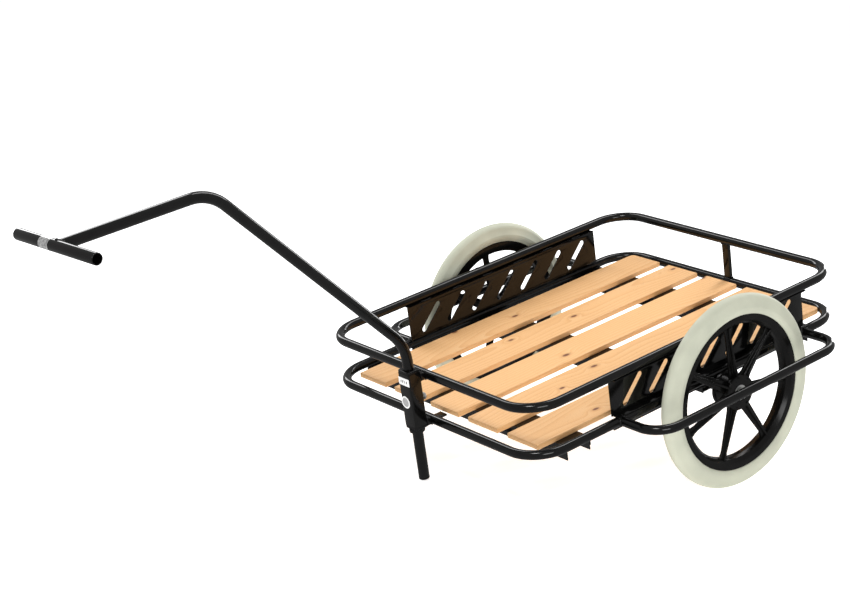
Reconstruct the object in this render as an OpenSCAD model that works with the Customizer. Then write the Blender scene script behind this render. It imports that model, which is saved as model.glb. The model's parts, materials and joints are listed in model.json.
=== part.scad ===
// Two-wheeled hand cart with a slatted deck, a tubular frame and a bent pull handle.
// X runs across the cart, -Y is the pulling end, +Z is up and the floor is Z = 0.
// The cart stands on its wheels and on the lower end of the pull handle, nose down.
// Everything is drawn with the deck level, then posed() tips it onto the floor.

/* [Frame] */
// Distance between the long rails, centre to centre
frame_w = 650; // [560:10:760]
// Distance between the end rails, centre to centre
frame_l = 852; // [760:4:960]
// Height of the upper rail above the lower rail
rail_gap = 98; // [80:2:130]
// Outer diameter of the frame tube
tube_d = 19; // [16:1:24]
// Bend radius of the rail corners
corner_r = 72; // [60:2:90]
// Offset of the rear post from the middle
rear_post_x = 8; // [-20:1:20]

/* [Deck] */
// Number of planks is five; this is the width of one
plank_w = 88.6; // [80:0.2:94]
// Gap between planks
plank_gap = 31.2; // [20:0.2:32]
// Length of a plank
plank_l = 797; // [700:1:810]
// Thickness of a plank
plank_t = 11; // [9:0.5:15]
// Height of the plank tops above the lower rail centre
deck_z = 6.3; // [4:0.1:9]
// Width of a cross member
member_w = 60; // [40:1:80]
// Depth of a cross member
member_h = 30; // [20:1:40]
// Sheet thickness of the cross members
member_t = 2.5; // [2:0.1:4]

/* [Side panels] */
// Length of a side panel
panel_l = 546; // [480:2:560]
// Number of slanted slots in a panel
slot_count = 7; // [5:1:7]
// Distance between slots
slot_pitch = 71; // [68:1:76]
// Slot width
slot_w = 12; // [6:0.5:14]
// Slot length between the centres of its ends
slot_l = 62; // [50:1:66]

/* [Wheel guards] */
// Reach of a guard beyond the long rail, centre to centre
guard_reach = 107; // [100:1:125]
// Length of a guard, centre to centre
guard_l = 515; // [500:1:540]
// Bend radius of a guard
guard_r = 78; // [60:1:90]

/* [Wheels] */
// Outer radius of the tyre
tyre_r = 200; // [190:1:205]
// Width of the tyre
tyre_w = 36; // [32:0.5:40]
// Outer radius of the rim
rim_r = 161; // [155:1:165]
// Width of the rim
rim_w = 27; // [24:0.5:30]
// Distance from the cart's middle to a wheel's middle plane
wheel_x = 370.7; // [370:0.1:374]
// Axle position behind the middle of the frame
axle_y = 59.7; // [40:0.1:80]
// Axle depth below the lower rail centre
axle_drop = 28; // [26:1:34]
// Axle diameter
axle_d = 12; // [10:1:14]
// Turn of the wheels, so that no spoke stands quite upright
spoke_turn = 30; // [0:1:50]

/* [Pull handle] */
// Outer diameter of the handle tube
bar_d = 22; // [20:1:25]
// Wall of the handle tube
bar_wall = 2; // [1.5:0.1:3]
// Handle axis in front of the front rails
socket_reach = 31.5; // [30:0.5:36]
// Length of leg below the lower rail centre
leg_drop = 123; // [110:1:140]
// Height of the lower bend above the lower rail
bend_1_z = 168; // [160:2:200]
// Forward reach of the upper bend
bend_2_reach = 386; // [340:2:430]
// Height of the upper bend above the lower rail
bend_2_z = 611; // [560:2:660]
// Forward reach of the cross grip
grip_reach = 701; // [640:2:760]
// Height of the cross grip above the lower rail
grip_z = 619; // [600:2:680]
// Length of the cross grip
grip_l = 244; // [200:2:300]
// Bend radius of the handle tube
bar_bend_r = 100; // [80:5:120]
// Swivel of the handle in its socket
handle_turn = 4; // [-20:1:20]

/* [Hidden] */
$fn = 96;

half_w = frame_w / 2;
half_l = frame_l / 2;
tube_r = tube_d / 2;
bar_r = bar_d / 2;
axle_r = axle_d / 2;
axle_z = -axle_drop;
black = [0.07, 0.07, 0.07];
steel = [0.78, 0.78, 0.78];
pine = [0.93, 0.72, 0.49];
grey_green = [0.80, 0.82, 0.76];

// Deck
plank_pitch = plank_w + plank_gap;
plank_y = 13;
plank_corner_r = 11;
plank_bottom = deck_z - plank_t;
member_pitch = 309;
member_y = -4;
member_end = half_w - tube_r;

// Side panels
panel_y = 52;
panel_t = 2;
panel_x = half_w - tube_r - panel_t;
panel_flange = 18;
slot_slope = 45;
slot_z = 47.8;

// Wheel guards
guard_y = 49.5;

// Wheels, in a local frame whose Z axis points outboard
wheel_half = rim_w / 2;
rim_wall = 4;
rim_inner_r = 139;
rim_lip_r = 148;
tyre_bead_r = 150;
spoke_count = 7;
spoke_web = 5;
hub_r = 34;
hub_inner = -30;
hub_disc_r = 36.5;
bearing_r = 16;
bearing_w = 10;
bearing_fit = 0.05;
axle_inner = 256;
axle_nut_h = 9.9;
axle_hex_r = 10.5;
axle_head_h = 8;
running_gap = 0.3;
washer_t = 2.5;
washer_r = 11;
axle_head_x = wheel_x + wheel_half + running_gap + washer_t;

// Handle
leg_y = -half_l - socket_reach;
socket_w = 35;
socket_d = 30;
socket_wall = 3;
socket_bottom = -3;
socket_top = 111;
bush_flange = 6;
saddle_h = 16;
bush_spigot = 22;
bush_fit = 0.05;
collar_r = 16;
collar_h = 8;
clamp_z = 49;
clamp_r = 4;
clamp_hole_r = 4.1;
clamp_nut_h = 6.5;
clamp_hex_r = 7.5;
clamp_head_h = 5.5;
sticker_t = 0.4;
plug_h = 4;
plug_l = 22;
grip_y = leg_y - grip_reach;
bend_2_y = leg_y - bend_2_reach;
slope_1 = atan2(bend_2_z - bend_1_z, bend_2_reach);
slope_2 = atan2(grip_z - bend_2_z, grip_reach - bend_2_reach);
turn_1 = 90 - slope_1;
turn_2 = slope_1 - slope_2;
bend_swell = 0.1;
bend_entry = 3;
set_back_1 = bar_bend_r * tan(turn_1 / 2);
set_back_2 = bar_bend_r * tan(turn_2 / 2);

// Tip of the cart: the front edge of the leg's end is level with the bottom of the tyres
foot_y = leg_y - bar_r;
foot_to_axle = norm([axle_y - foot_y, leg_drop + axle_z]);
pitch = asin(tyre_r / foot_to_axle) - atan2(leg_drop + axle_z, axle_y - foot_y);
lift = tyre_r - axle_y * sin(pitch) - axle_z * cos(pitch);
grip_end_y = leg_y - grip_reach * cos(handle_turn) - grip_l / 2 * sin(handle_turn);
grip_edge = bar_r * sqrt(1 - pow(sin(handle_turn) * cos(pitch), 2));
front_y = grip_end_y * cos(pitch) - grip_z * sin(pitch) - grip_edge;
rear_y = half_l * cos(pitch) + tube_r;
centre_y = (front_y + rear_y) / 2;

// Placing

// Tips the level cart onto its leg and centres it on the floor
module posed() {
    translate([0, -centre_y, lift])
        rotate([pitch, 0, 0])
            children();
}

// Swivels the handle in its socket
module swivelled() {
    posed()
        translate([0, leg_y, 0])
            rotate([0, 0, handle_turn])
                translate([0, -leg_y, 0])
                    children();
}

// Puts a wheel piece on its axle: side is 1 on the left and -1 on the right
module on_axle(side) {
    posed()
        mirror([side < 0 ? 1 : 0, 0, 0])
            translate([wheel_x, axle_y, axle_z])
                rotate([0, 90, 0])
                    children();
}

// Draws on the left or, mirrored, on the right
module on_side(side) {
    mirror([side < 0 ? 1 : 0, 0, 0])
        children();
}

// A rod in the YZ plane from point a to point b, each [y, z]
module rod(a, b, r) {
    step = b - a;
    translate([0, a[0], a[1]])
        rotate([atan2(-step[0], step[1]), 0, 0])
            cylinder(h = norm(step), r = r);
}

// A rod along Y
module rod_y(x, z, length, r) {
    translate([x, -length / 2, z])
        rotate([-90, 0, 0])
            cylinder(h = length, r = r);
}

// A rod along X
module rod_x(y, z, x0, x1, r) {
    translate([x0, y, z])
        rotate([0, 90, 0])
            cylinder(h = x1 - x0, r = r);
}

// A stretch of an end rail, to cope other pieces onto
module end_rail(y, z) {
    rod_x(y, z, -half_w / 2, half_w / 2, tube_r);
}

// The way of an axle, out from the middle
module axle_way() {
    rod_x(axle_y, axle_z, 0, half_w + guard_reach, axle_r);
}

// Frame

// A closed loop of tube with round corners
module rail_loop(z) {
    straight_x = frame_w - 2 * corner_r;
    straight_y = frame_l - 2 * corner_r;
    for (side = [-1, 1]) {
        rod_y(side * half_w, z, straight_y, tube_r);
        rod_x(side * half_l, z, -straight_x / 2, straight_x / 2, tube_r);
    }
    for (quarter = [0 : 3]) {
        sx = quarter == 0 || quarter == 3 ? 1 : -1;
        sy = quarter < 2 ? 1 : -1;
        translate([sx * straight_x / 2, sy * straight_y / 2, z])
            rotate([0, 0, quarter * 90])
                rotate_extrude(angle = 90)
                    translate([corner_r, 0])
                        circle(r = tube_r);
    }
}

module upper_rail() {
    color(black)
        posed()
            rail_loop(rail_gap);
}

module lower_rail() {
    color(black)
        posed()
            rail_loop(0);
}

module rear_post() {
    post_w = 18;
    post_t = 10;
    color(black)
        posed()
            difference() {
                translate([rear_post_x - post_w / 2, half_l - post_t / 2, 0])
                    cube([post_w, post_t, rail_gap]);
                end_rail(half_l, 0);
                end_rail(half_l, rail_gap);
            }
}

module slanted_slot(y) {
    translate([panel_x - 1, y, slot_z])
        rotate([slot_slope, 0, 0])
            rotate([0, 90, 0])
                linear_extrude(panel_t + 2)
                    union() {
                        square([slot_w, slot_l], center = true);
                        for (end = [-1, 1])
                            translate([0, end * slot_l / 2])
                                circle(d = slot_w);
                    }
}

// A sheet welded inside the rails, with a flange under the upper and over the lower rail
module side_panel(side) {
    weld_gap = 0.02;
    inner = tube_r + weld_gap;
    color(black)
        posed()
            on_side(side)
                difference() {
                    union() {
                        translate([panel_x, panel_y - panel_l / 2, inner])
                            cube([panel_t, panel_l, rail_gap - 2 * inner]);
                        for (z = [inner, rail_gap - inner - panel_t])
                            translate([panel_x, panel_y - panel_l / 2, z])
                                cube([panel_flange, panel_l, panel_t]);
                    }
                    for (i = [0 : slot_count - 1])
                        slanted_slot(panel_y + (i - (slot_count - 1) / 2) * slot_pitch);
                }
}

module side_panel_left() {
    side_panel(1);
}

module side_panel_right() {
    side_panel(-1);
}

// A U-shaped tube that passes outside the wheel, coped onto the lower rail
module wheel_guard(side) {
    outer_x = half_w + guard_reach;
    color(black)
        posed()
            on_side(side)
                difference() {
                    translate([0, guard_y, 0])
                        union() {
                            rod_y(outer_x, 0, guard_l - 2 * guard_r, tube_r);
                            for (end = [-1, 1]) {
                                rod_x(end * guard_l / 2, 0, half_w, outer_x - guard_r, tube_r);
                                translate([outer_x - guard_r, end * (guard_l / 2 - guard_r), 0])
                                    rotate([0, 0, end < 0 ? -90 : 0])
                                        rotate_extrude(angle = 90)
                                            translate([guard_r, 0])
                                                circle(r = tube_r);
                            }
                        }
                    rod_y(half_w, 0, frame_l, tube_r);
                }
}

module wheel_guard_left() {
    wheel_guard(1);
}

module wheel_guard_right() {
    wheel_guard(-1);
}

// An inverted channel between the long rails
module cross_member(y) {
    color(black)
        posed()
            difference() {
                translate([-member_end, y - member_w / 2, plank_bottom - member_h])
                    cube([2 * member_end, member_w, member_h]);
                translate([-member_end - 1, y - member_w / 2 + member_t, plank_bottom - member_h - 1])
                    cube([2 * member_end + 2, member_w - 2 * member_t, member_h + 1 - member_t]);
            }
}

module cross_member_front() {
    cross_member(member_y - member_pitch);
}

module cross_member_middle() {
    cross_member(member_y);
}

module cross_member_rear() {
    cross_member(member_y + member_pitch);
}

// Small plate behind the front of the lower rail
module front_lug() {
    lug_w = 21;
    lug_l = 38;
    lug_t = 4;
    color(black)
        posed()
            difference() {
                translate([-lug_w / 2, -half_l, plank_bottom - lug_t])
                    cube([lug_w, lug_l, lug_t]);
                end_rail(-half_l, 0);
            }
}

// Deck

// The round of an end plank's outer rear corner, which clears the rail's bend
module plank_corner() {
    translate([2 * plank_pitch + plank_w / 2, plank_y + plank_l / 2, plank_bottom - 1])
        linear_extrude(plank_t + 2)
            difference() {
                translate([-plank_corner_r, -plank_corner_r])
                    square(plank_corner_r + 1);
                translate([-plank_corner_r, -plank_corner_r])
                    circle(r = plank_corner_r);
            }
}

module plank(i) {
    color(pine)
        posed()
            difference() {
                translate([(i - 2) * plank_pitch - plank_w / 2, plank_y - plank_l / 2, plank_bottom])
                    cube([plank_w, plank_l, plank_t]);
                if (i == 0 || i == 4)
                    on_side(i - 2)
                        plank_corner();
            }
}

module plank_1() {
    plank(0);
}

module plank_2() {
    plank(1);
}

module plank_3() {
    plank(2);
}

module plank_4() {
    plank(3);
}

module plank_5() {
    plank(4);
}

// Pan-head screws, driven up through the cross members into the planks
module plank_screws() {
    head_r = 4.5;
    head_h = 2.5;
    shank_r = 2;
    shank_l = 10;
    screw_x = 22;
    seat_z = plank_bottom - member_t;
    color(steel)
        posed()
            for (i = [-2 : 2])
                for (j = [-1 : 1])
                    for (k = [-1, 1])
                        translate([i * plank_pitch + k * screw_x, member_y + j * member_pitch, seat_z])
                            union() {
                                translate([0, 0, -head_h])
                                    cylinder(h = head_h, r = head_r, $fn = 32);
                                cylinder(h = shank_l, r = shank_r, $fn = 32);
                            }
}

// Axles

// A short tube under the rail that holds the stub axle, with its gusset plates
module axle_bracket(side) {
    housing_r = 12;
    housing_x = 266;
    housing_end = 333;
    hanger_w = 15;
    hanger_l = 18;
    plate = 5;
    carrier_t = 3;
    carrier_h = 14;
    carrier_z = -19;
    member_back = member_y + member_w / 2;
    color(black)
        posed()
            on_side(side)
                difference() {
                    union() {
                        rod_x(axle_y, axle_z, housing_x, housing_end, housing_r);
                        translate([half_w - tube_r + 0.5, axle_y - hanger_l / 2, axle_z])
                            cube([hanger_w, hanger_l, axle_drop]);
                        translate([member_end + 0.1, panel_y - panel_l / 2, carrier_z])
                            cube([carrier_t, panel_l, carrier_h]);
                        for (x = [housing_x + plate, housing_end - 5 * plate])
                            translate([x, member_back, plank_bottom - member_h])
                                cube([plate, axle_y - member_back, member_h - 8]);
                    }
                    axle_way();
                    rod_y(half_w, 0, frame_l, tube_r);
                }
}

module axle_bracket_left() {
    axle_bracket(1);
}

module axle_bracket_right() {
    axle_bracket(-1);
}

// A stub axle bolt with its hexagon head outboard
module axle(side) {
    color(steel)
        posed()
            on_side(side)
                union() {
                    rod_x(axle_y, axle_z, axle_inner - axle_nut_h, axle_head_x, axle_r);
                    translate([axle_head_x, axle_y, axle_z])
                        rotate([0, 90, 0])
                            cylinder(h = axle_head_h, r = axle_hex_r, $fn = 6);
                }
}

module axle_left() {
    axle(1);
}

module axle_right() {
    axle(-1);
}

// A nut on the inner end of each stub axle
module axle_nuts() {
    color(steel)
        posed()
            for (side = [-1, 1])
                on_side(side)
                    difference() {
                        translate([axle_inner, axle_y, axle_z])
                            rotate([0, 90, 0])
                                cylinder(h = axle_nut_h, r = axle_hex_r, $fn = 6);
                        axle_way();
                    }
}

// A washer under each bolt head, just clear of the outer bearing
module axle_washers() {
    color(steel)
        posed()
            for (side = [-1, 1])
                on_side(side)
                    difference() {
                        rod_x(axle_y, axle_z, axle_head_x - washer_t, axle_head_x, washer_r);
                        axle_way();
                    }
}

// A sleeve between the axle tube and the inner bearing
module spacer(side) {
    spacer_start = 333.1;
    spacer_end = wheel_x + hub_inner - running_gap;
    spacer_r = 9;
    color(steel)
        posed()
            on_side(side)
                difference() {
                    rod_x(axle_y, axle_z, spacer_start, spacer_end, spacer_r);
                    axle_way();
                }
}

module spacer_left() {
    spacer(1);
}

module spacer_right() {
    spacer(-1);
}

// Wheels

// Half section of the rim: a channel that holds the tyre
module rim_section() {
    difference() {
        polygon([
            [rim_r, wheel_half],
            [rim_lip_r, wheel_half],
            [rim_inner_r + 2, wheel_half - 7.5],
            [rim_inner_r, -2],
            [rim_inner_r, -wheel_half],
            [rim_r, -wheel_half]
        ]);
        translate([tyre_bead_r, -wheel_half + rim_wall])
            square([rim_r, rim_w - 2 * rim_wall]);
    }
}

// One spoke: a flat web crossed by a rib, both narrower at the rim
module spoke() {
    start = hub_r - 3;
    end = rim_inner_r + 3;
    web_start = 11.5;
    web_end = 6.5;
    rib_start = 12.5;
    rib_end = 6;
    translate([0, 0, -spoke_web / 2])
        linear_extrude(spoke_web)
            polygon([[start, -web_start], [end, -web_end], [end, web_end], [start, web_start]]);
    translate([0, spoke_web / 2, 0])
        rotate([90, 0, 0])
            linear_extrude(spoke_web)
                polygon([[start, -rib_start], [end, -rib_end], [end, rib_end], [start, rib_start]]);
}

// A one-piece moulded wheel with bearing pockets in its hub
module wheel(side) {
    disc_t = 8;
    color(black)
        on_axle(side)
            difference() {
                union() {
                    rotate_extrude()
                        rim_section();
                    translate([0, 0, hub_inner])
                        cylinder(h = wheel_half - hub_inner, r = hub_r);
                    for (z = [hub_inner, wheel_half - disc_t])
                        translate([0, 0, z])
                            cylinder(h = disc_t, r = hub_disc_r);
                    for (i = [0 : spoke_count - 1])
                        rotate([0, 0, spoke_turn + i * 360 / spoke_count])
                            spoke();
                }
                translate([0, 0, hub_inner - 1])
                    cylinder(h = wheel_half - hub_inner + 2, r = axle_r + 3);
                translate([0, 0, hub_inner - 1])
                    cylinder(h = bearing_w + 1, r = bearing_r);
                translate([0, 0, wheel_half - bearing_w])
                    cylinder(h = bearing_w + 1, r = bearing_r);
            }
}

module wheel_left() {
    wheel(1);
}

module wheel_right() {
    wheel(-1);
}

// Half section of the solid tyre: a rounded tread on a narrow bead
module tyre_section() {
    crown_r = 14;
    crown_x = tyre_r - crown_r;
    belly_r = tyre_w / 2;
    belly_x = 172;
    lean = asin((belly_r - crown_r) / (crown_x - belly_x));
    difference() {
        union() {
            translate([crown_x, 0])
                circle(r = crown_r);
            translate([belly_x, 0])
                circle(r = belly_r);
            polygon([
                [belly_x + belly_r * sin(lean), -belly_r * cos(lean)],
                [crown_x + crown_r * sin(lean), -crown_r * cos(lean)],
                [crown_x + crown_r * sin(lean), crown_r * cos(lean)],
                [belly_x + belly_r * sin(lean), belly_r * cos(lean)]
            ]);
            translate([tyre_bead_r, -wheel_half + rim_wall])
                square([belly_x - tyre_bead_r, rim_w - 2 * rim_wall]);
        }
        for (end = [-1, 1])
            translate([rim_inner_r, end > 0 ? wheel_half - rim_wall : -belly_r])
                square([rim_r - rim_inner_r, belly_r - wheel_half + rim_wall]);
    }
}

module tyre(side) {
    color(grey_green)
        on_axle(side)
            rotate_extrude($fn = 144)
                tyre_section();
}

module tyre_left() {
    tyre(1);
}

module tyre_right() {
    tyre(-1);
}

// The two bearings of one hub, which turn with the wheel on the fixed axle
module bearings(side) {
    color(steel)
        on_axle(side)
            for (z = [hub_inner, wheel_half - bearing_w])
                translate([0, 0, z])
                    difference() {
                        cylinder(h = bearing_w, r = bearing_r);
                        translate([0, 0, -1])
                            cylinder(h = bearing_w + 2, r = axle_r + bearing_fit);
                    }
}

module bearings_left() {
    bearings(1);
}

module bearings_right() {
    bearings(-1);
}

// Handle socket

// An upright box tube in front of the rails
module handle_socket() {
    height = socket_top - socket_bottom;
    inner_w = socket_w - 2 * socket_wall;
    inner_d = socket_d - 2 * socket_wall;
    color(black)
        posed()
            difference() {
                translate([-socket_w / 2, leg_y - socket_d / 2, socket_bottom])
                    cube([socket_w, socket_d, height]);
                translate([-inner_w / 2, leg_y - inner_d / 2, socket_bottom - 1])
                    cube([inner_w, inner_d, height + 2]);
                translate([0, leg_y, clamp_z])
                    rotate([-90, 0, 0])
                        cylinder(h = socket_d, r = clamp_hole_r);
            }
}

// Blocks that weld the socket to both front rails
module socket_saddles() {
    depth = socket_reach - socket_d / 2;
    color(black)
        posed()
            difference() {
                for (z = [0, rail_gap])
                    translate([-socket_w / 2, -half_l - depth, z - saddle_h / 2])
                        cube([socket_w, depth, saddle_h]);
                end_rail(-half_l, 0);
                end_rail(-half_l, rail_gap);
            }
}

// A plastic bush: a flange outside the socket and a spigot inside it
module socket_bush() {
    inner_w = socket_w - 2 * socket_wall - 0.02;
    inner_d = socket_d - 2 * socket_wall - 0.02;
    difference() {
        union() {
            translate([-socket_w / 2, -socket_d / 2, 0])
                cube([socket_w, socket_d, bush_flange]);
            translate([-inner_w / 2, -inner_d / 2, -bush_spigot])
                cube([inner_w, inner_d, bush_spigot]);
        }
        translate([0, 0, -bush_spigot - 1])
            cylinder(h = bush_spigot + bush_flange + 2, r = bar_r + bush_fit);
    }
}

module socket_bush_top() {
    color(black)
        posed()
            translate([0, leg_y, socket_top])
                socket_bush();
}

module socket_bush_bottom() {
    color(black)
        posed()
            translate([0, leg_y, socket_bottom])
                rotate([180, 0, 0])
                    socket_bush();
}

// The nut welded on the back of the socket for the clamp screw
module clamp_nut() {
    color(black)
        posed()
            difference() {
                translate([0, leg_y + socket_d / 2, clamp_z])
                    rotate([-90, 0, 0])
                        cylinder(h = clamp_nut_h, r = clamp_hex_r, $fn = 6);
                translate([0, leg_y, clamp_z])
                    rotate([-90, 0, 0])
                        cylinder(h = socket_d, r = clamp_hole_r);
            }
}

// The screw that clamps the handle tube
module clamp_screw() {
    tip = bar_r + running_gap;
    head = socket_d / 2 + clamp_nut_h + 3;
    color(steel)
        posed()
            translate([0, leg_y, clamp_z])
                rotate([-90, 0, 0])
                    union() {
                        translate([0, 0, tip])
                            cylinder(h = head - tip, r = clamp_r);
                        translate([0, 0, head])
                            cylinder(h = clamp_head_h, r = clamp_hex_r, $fn = 6);
                    }
}

module socket_label() {
    label_w = 33;
    label_h = 16;
    label_z = 87;
    color("white")
        posed()
            translate([-label_w / 2, leg_y - socket_d / 2 - sticker_t, label_z])
                cube([label_w, sticker_t, label_h]);
}

module socket_badge() {
    badge_r = 13;
    badge_x = -4;
    badge_z = 49.5;
    color("silver")
        posed()
            translate([badge_x, leg_y - socket_d / 2, badge_z])
                rotate([90, 0, 0])
                    cylinder(h = sticker_t, r = badge_r);
}

// Handle

// One bend of the handle tube, whose arc starts at angle start and turns by turn.
// It is a hair thicker than the straight pieces, which run a little way into it.
module bar_bend(centre, start, turn) {
    translate([0, centre[0], centre[1]])
        rotate([90, 0, 90])
            rotate([0, 0, start])
                rotate_extrude(angle = turn)
                    translate([bar_bend_r, 0])
                        circle(r = bar_r + bend_swell);
}

// The handle tube: leg, lower bend, rise, upper bend and drawbar, coped onto the grip.
// The leg and the drawbar are bored; the rise between the bends is drawn solid.
module handle_bar() {
    up = [0, 1];
    way_1 = [-cos(slope_1), sin(slope_1)];
    way_2 = [-cos(slope_2), sin(slope_2)];
    foot = [leg_y, -leg_drop + plug_h];
    bend_1 = [leg_y, bend_1_z];
    bend_2 = [bend_2_y, bend_2_z];
    grip = [grip_y, grip_z];
    bend_1_in = bend_1 - set_back_1 * up;
    bend_1_out = bend_1 + set_back_1 * way_1;
    bend_2_in = bend_2 - set_back_2 * way_1;
    bend_2_out = bend_2 + set_back_2 * way_2;
    centre_1 = bend_1_in - [bar_bend_r, 0];
    centre_2 = bend_2_in - bar_bend_r * [cos(turn_1), sin(turn_1)];
    color(black)
        swivelled()
            difference() {
                union() {
                    rod(foot, bend_1_in + bend_entry * up, bar_r);
                    bar_bend(centre_1, 0, turn_1);
                    rod(bend_1_out - bend_entry * way_1, bend_2_in + bend_entry * way_1, bar_r);
                    bar_bend(centre_2, turn_1, turn_2);
                    rod(bend_2_out - bend_entry * way_2, grip, bar_r);
                }
                rod(foot - up, bend_1_in - bend_entry * up, bar_r - bar_wall);
                rod(bend_2_out + bend_entry * way_2, grip, bar_r - bar_wall);
                rod_x(grip_y, grip_z, -grip_l, grip_l, bar_r);
            }
}

module grip_bar() {
    color(black)
        swivelled()
            difference() {
                rod_x(grip_y, grip_z, -grip_l / 2, grip_l / 2, bar_r);
                rod_x(grip_y, grip_z, -grip_l, grip_l, bar_r - bar_wall);
            }
}

// A thin sleeve around the grip
module grip_label() {
    foil_start = -42;
    foil_end = -13;
    foil_t = 0.3;
    color("silver")
        swivelled()
            difference() {
                rod_x(grip_y, grip_z, foil_start, foil_end, bar_r + foil_t);
                rod_x(grip_y, grip_z, -grip_l / 2, grip_l / 2, bar_r);
            }
}

// The foot: a plug in the lower end of the handle tube
module leg_plug() {
    color(black)
        swivelled()
            translate([0, leg_y, -leg_drop])
                union() {
                    cylinder(h = plug_h, r = bar_r);
                    cylinder(h = plug_l, r = bar_r - bar_wall);
                }
}

// The ring on the leg that the socket rests on
module stop_collar() {
    top = socket_bottom - bush_flange - running_gap;
    color(black)
        swivelled()
            translate([0, leg_y, top - collar_h])
                difference() {
                    cylinder(h = collar_h, r = collar_r);
                    translate([0, 0, -1])
                        cylinder(h = collar_h + 2, r = bar_r);
                }
}

upper_rail();
lower_rail();
rear_post();
side_panel_left();
side_panel_right();
wheel_guard_left();
wheel_guard_right();
cross_member_front();
cross_member_middle();
cross_member_rear();
plank_1();
plank_2();
plank_3();
plank_4();
plank_5();
plank_screws();
front_lug();
axle_bracket_left();
axle_bracket_right();
axle_left();
axle_right();
axle_nuts();
axle_washers();
handle_socket();
socket_saddles();
socket_bush_top();
socket_bush_bottom();
clamp_nut();
clamp_screw();
handle_bar();
grip_bar();
grip_label();
leg_plug();
stop_collar();
socket_label();
socket_badge();
wheel_left();
wheel_right();
tyre_left();
tyre_right();
bearings_left();
bearings_right();
spacer_left();
spacer_right();
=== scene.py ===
import json
import math

import bmesh
import bpy
from mathutils import Matrix, Vector, noise


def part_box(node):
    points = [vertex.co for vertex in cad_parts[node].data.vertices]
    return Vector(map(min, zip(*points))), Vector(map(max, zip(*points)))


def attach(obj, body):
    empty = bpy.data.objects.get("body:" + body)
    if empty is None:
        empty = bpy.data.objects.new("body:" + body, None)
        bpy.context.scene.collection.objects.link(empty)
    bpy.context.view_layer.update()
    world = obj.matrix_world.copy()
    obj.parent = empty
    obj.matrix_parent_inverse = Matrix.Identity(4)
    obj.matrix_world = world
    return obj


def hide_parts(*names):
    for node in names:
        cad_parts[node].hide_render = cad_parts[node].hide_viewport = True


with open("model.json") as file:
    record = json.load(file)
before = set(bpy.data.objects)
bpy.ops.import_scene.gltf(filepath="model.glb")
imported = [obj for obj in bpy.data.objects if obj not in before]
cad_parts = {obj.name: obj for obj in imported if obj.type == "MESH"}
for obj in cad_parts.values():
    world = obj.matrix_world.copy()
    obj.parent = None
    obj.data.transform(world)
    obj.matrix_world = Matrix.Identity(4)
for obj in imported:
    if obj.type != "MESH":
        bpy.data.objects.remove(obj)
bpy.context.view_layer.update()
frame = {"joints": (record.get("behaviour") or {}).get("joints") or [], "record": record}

SCENE = bpy.context.scene

# Lengths are in metres. The level deck has its own frame: X across, -Y to the front,
# and its origin in the middle of the lower rail. Pieces are drawn in it, then placed.

# ---------------------------------------------------------------- sizes

TUBE_R = 0.0095
CORNER_R = 0.072
PLANK_W, PLANK_L, PLANK_T, PLANK_CORNER_R = 0.0886, 0.797, 0.011, 0.011
PLANK_PITCH = 0.1198
PLANK_Y = 0.013
DECK_Z = 0.0063
MEMBER_W, MEMBER_H, MEMBER_T = 0.060, 0.030, 0.0025
MEMBER_Y, MEMBER_PITCH = -0.004, 0.309
SCREW_OFFSET = 0.022
GUARD_Y, GUARD_L, GUARD_REACH, GUARD_BEND_R = 0.0495, 0.515, 0.107, 0.078
PANEL_Y, PANEL_L, PANEL_T, PANEL_FLANGE = 0.052, 0.546, 0.002, 0.018
SLOT_COUNT, SLOT_PITCH, SLOT_W, SLOT_L, SLOT_Z = 7, 0.071, 0.012, 0.062, 0.0478
POST_X, POST_W, POST_T = 0.008, 0.018, 0.010
BAR_R, BAR_WALL, BAR_BEND_R = 0.011, 0.002, 0.100
LEG_DROP, PLUG_H = 0.123, 0.004
BEND_1_Z = 0.168
BEND_2_REACH, BEND_2_Z = 0.386, 0.611
GRIP_REACH, GRIP_Z, GRIP_L = 0.701, 0.619, 0.244
SOCKET_W, SOCKET_D, SOCKET_WALL = 0.035, 0.030, 0.003
SOCKET_BOTTOM, SOCKET_TOP = -0.003, 0.111
BUSH_FLANGE = 0.006
CLAMP_Z = 0.049
RIM_R, RIM_LIP_R, RIM_INNER_R, RIM_HALF, BEAD_R = 0.161, 0.148, 0.139, 0.0135, 0.150
SPOKES, SPOKE_TURN, SPOKE_WEB = 7, 30, 0.005
HUB_R, HUB_DISC_R, HUB_INNER = 0.034, 0.0365, -0.030
BEARING_R, BEARING_W, AXLE_R = 0.016, 0.010, 0.006
WASHER_T, WASHER_R, RUNNING_GAP = 0.0025, 0.011, 0.0003
BEAD = 0.0021
SIDES = 40

# ---------------------------------------------------------------- places, from the frame


def centre(node):
    low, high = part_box(node)
    return (low + high) / 2


def extent(node):
    low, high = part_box(node)
    return high - low


JOINTS = {joint["name"]: joint for joint in frame["joints"]}
MOUNTS = {mount["name"]: mount for mount in frame["record"]["mounts"]}
RISE = centre("upper_rail") - centre("lower_rail")
RAIL_GAP = RISE.length
PITCH = math.atan2(-RISE.y, RISE.z)
DECK = Matrix.Translation(centre("lower_rail")) @ Matrix.Rotation(PITCH, 4, "X")
TO_DECK = DECK.inverted()
HALF_W = extent("lower_rail").x / 2 - TUBE_R
HALF_L = (extent("lower_rail").y / 2 - TUBE_R) / math.cos(PITCH)
LEG_Y = (TO_DECK @ Vector(JOINTS["handle_swivel"]["pos_m"])).y
WHEEL = TO_DECK @ Vector(JOINTS["wheel_left_spin"]["pos_m"])
TYRE_R = extent("tyre_left").z / 2
TYRE_W = extent("tyre_left").x
GRIP_AXIS = TO_DECK.to_3x3() @ Vector(MOUNTS["grip_bore"]["axis"])
HANDLE_TURN = math.atan2(GRIP_AXIS.y, GRIP_AXIS.x)
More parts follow.
